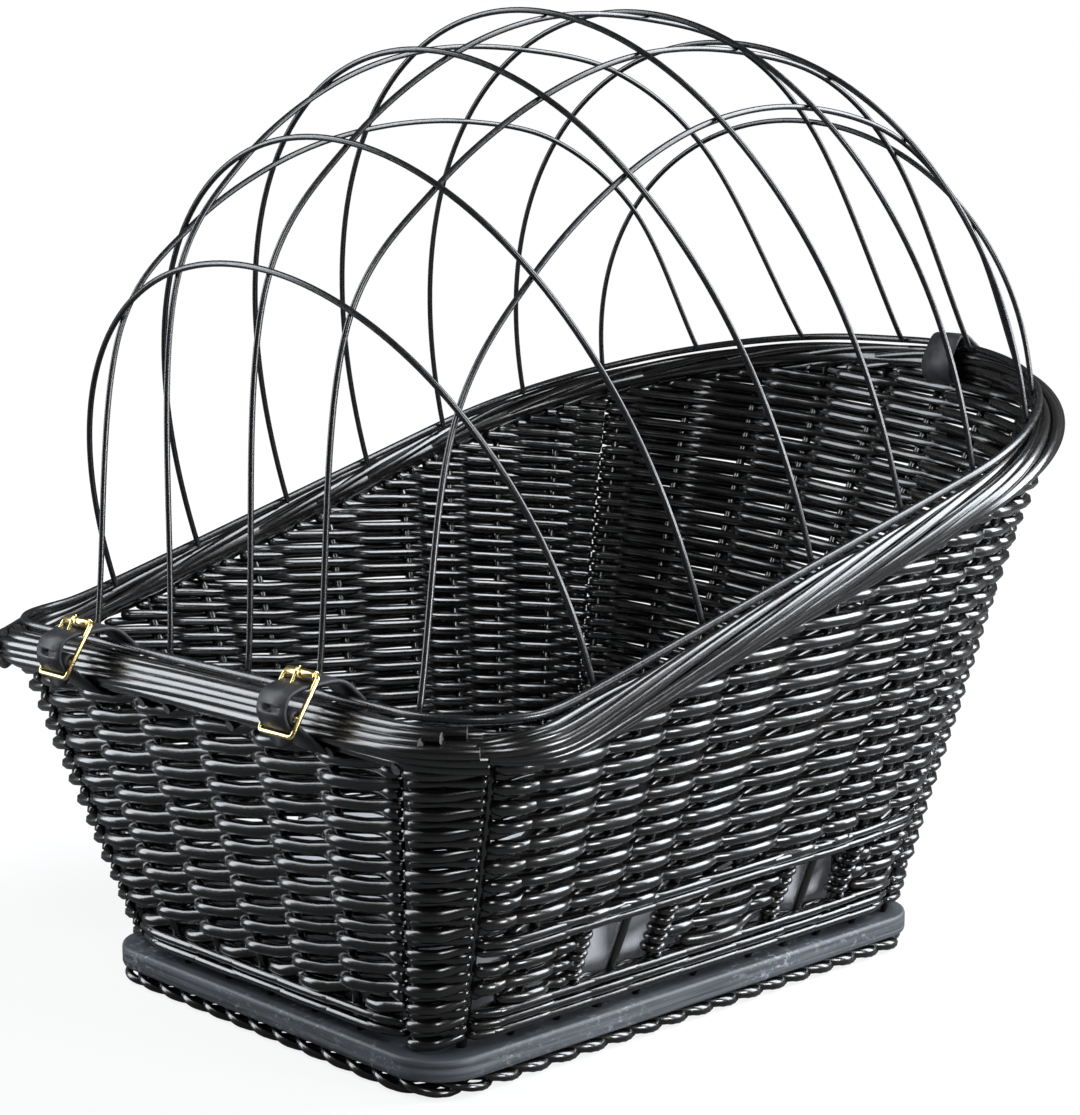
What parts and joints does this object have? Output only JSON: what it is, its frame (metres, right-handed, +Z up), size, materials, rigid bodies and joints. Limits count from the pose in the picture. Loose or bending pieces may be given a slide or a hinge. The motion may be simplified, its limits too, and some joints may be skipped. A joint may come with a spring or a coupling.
{
  "type": "dog bicycle basket",
  "caption": "Woven willow dog basket on a board, high round end to low square end, with a domed wire cage that tips back, strap buckles, side windows and a cushion.",
  "frame": {"origin": "middle of the outline seen from above, on the surface that the basket stands on", "axes": "+X from the low square end towards the high round end, +Y from the near side to the far side, +Z up"},
  "size_m": [0.5596, 0.424, 0.5043],
  "materials": {
    "willow": "black-brown stained and varnished willow rods, glossy",
    "ply": "dark grey stained plywood, matt, with horizontal grain",
    "cage_wire": "black enamel, satin gloss",
    "leather": "black strap leather, fine grain",
    "brass": "polished yellow brass",
    "cushion_cloth": "pale grey soft woven cloth"
  },
  "bodies": {
    "basket": {"window_stake_near_low": "willow", "window_stake_near_high": "willow", "window_stake_far_low": "willow", "window_stake_far_high": "willow", "corner_stake_near_1": "willow", "corner_stake_near_2": "willow", "corner_stake_far_1": "willow", "corner_stake_far_2": "willow", "foot_border": "willow", "woven_wall_low_end": "willow", "woven_corner_near": "willow", "woven_corner_far": "willow", "woven_wall_near": "willow", "woven_wall_far": "willow", "woven_wall_high_end": "willow", "rim_border": "willow", "base_board": "ply", "cushion": "cushion_cloth", "hinge_loop": "leather", "strap_far": "leather", "strap_near": "leather", "buckle_frame_far": "brass", "buckle_frame_near": "brass"},
    "cage": {"cage_rim_wire": "cage_wire", "cross_wire_1": "cage_wire", "cross_wire_2": "cage_wire", "cross_wire_3": "cage_wire", "cross_wire_4": "cage_wire", "cross_wire_5": "cage_wire", "cross_wire_6": "cage_wire", "cross_wire_7": "cage_wire", "long_wire_1": "cage_wire", "long_wire_2": "cage_wire", "long_wire_3": "cage_wire", "long_wire_4": "cage_wire", "long_wire_5": "cage_wire"},
    "roller_far": {"buckle_roller_far": "brass"},
    "roller_near": {"buckle_roller_near": "brass"},
    "prong_far": {"buckle_prong_far": "brass"},
    "prong_near": {"buckle_prong_near": "brass"}
  },
  "joints": [
    {"name": "cage_hinge", "type": "hinge", "parent": "basket", "child": "cage", "pos_m": [0.2626, 0, 0.3217], "axis": [0, 1, 0], "range_deg": [0, 100], "deforming": ["hinge_loop", "strap_far", "strap_near"]},
    {"name": "roller_far_spin", "type": "hinge", "parent": "basket", "child": "roller_far", "pos_m": [-0.2614, 0.0835, 0.2016], "axis": [0, 1, 0], "continuous": true},
    {"name": "prong_far_swing", "type": "hinge", "parent": "basket", "child": "prong_far", "pos_m": [-0.2724, 0.0835, 0.1846], "axis": [0, -1, 0], "range_deg": [0, 100], "deforming": ["strap_far"]},
    {"name": "roller_near_spin", "type": "hinge", "parent": "basket", "child": "roller_near", "pos_m": [-0.2614, -0.0935, 0.2016], "axis": [0, 1, 0], "continuous": true},
    {"name": "prong_near_swing", "type": "hinge", "parent": "basket", "child": "prong_near", "pos_m": [-0.2724, -0.0935, 0.1846], "axis": [0, -1, 0], "range_deg": [0, 100], "deforming": ["strap_near"]}
  ]
}
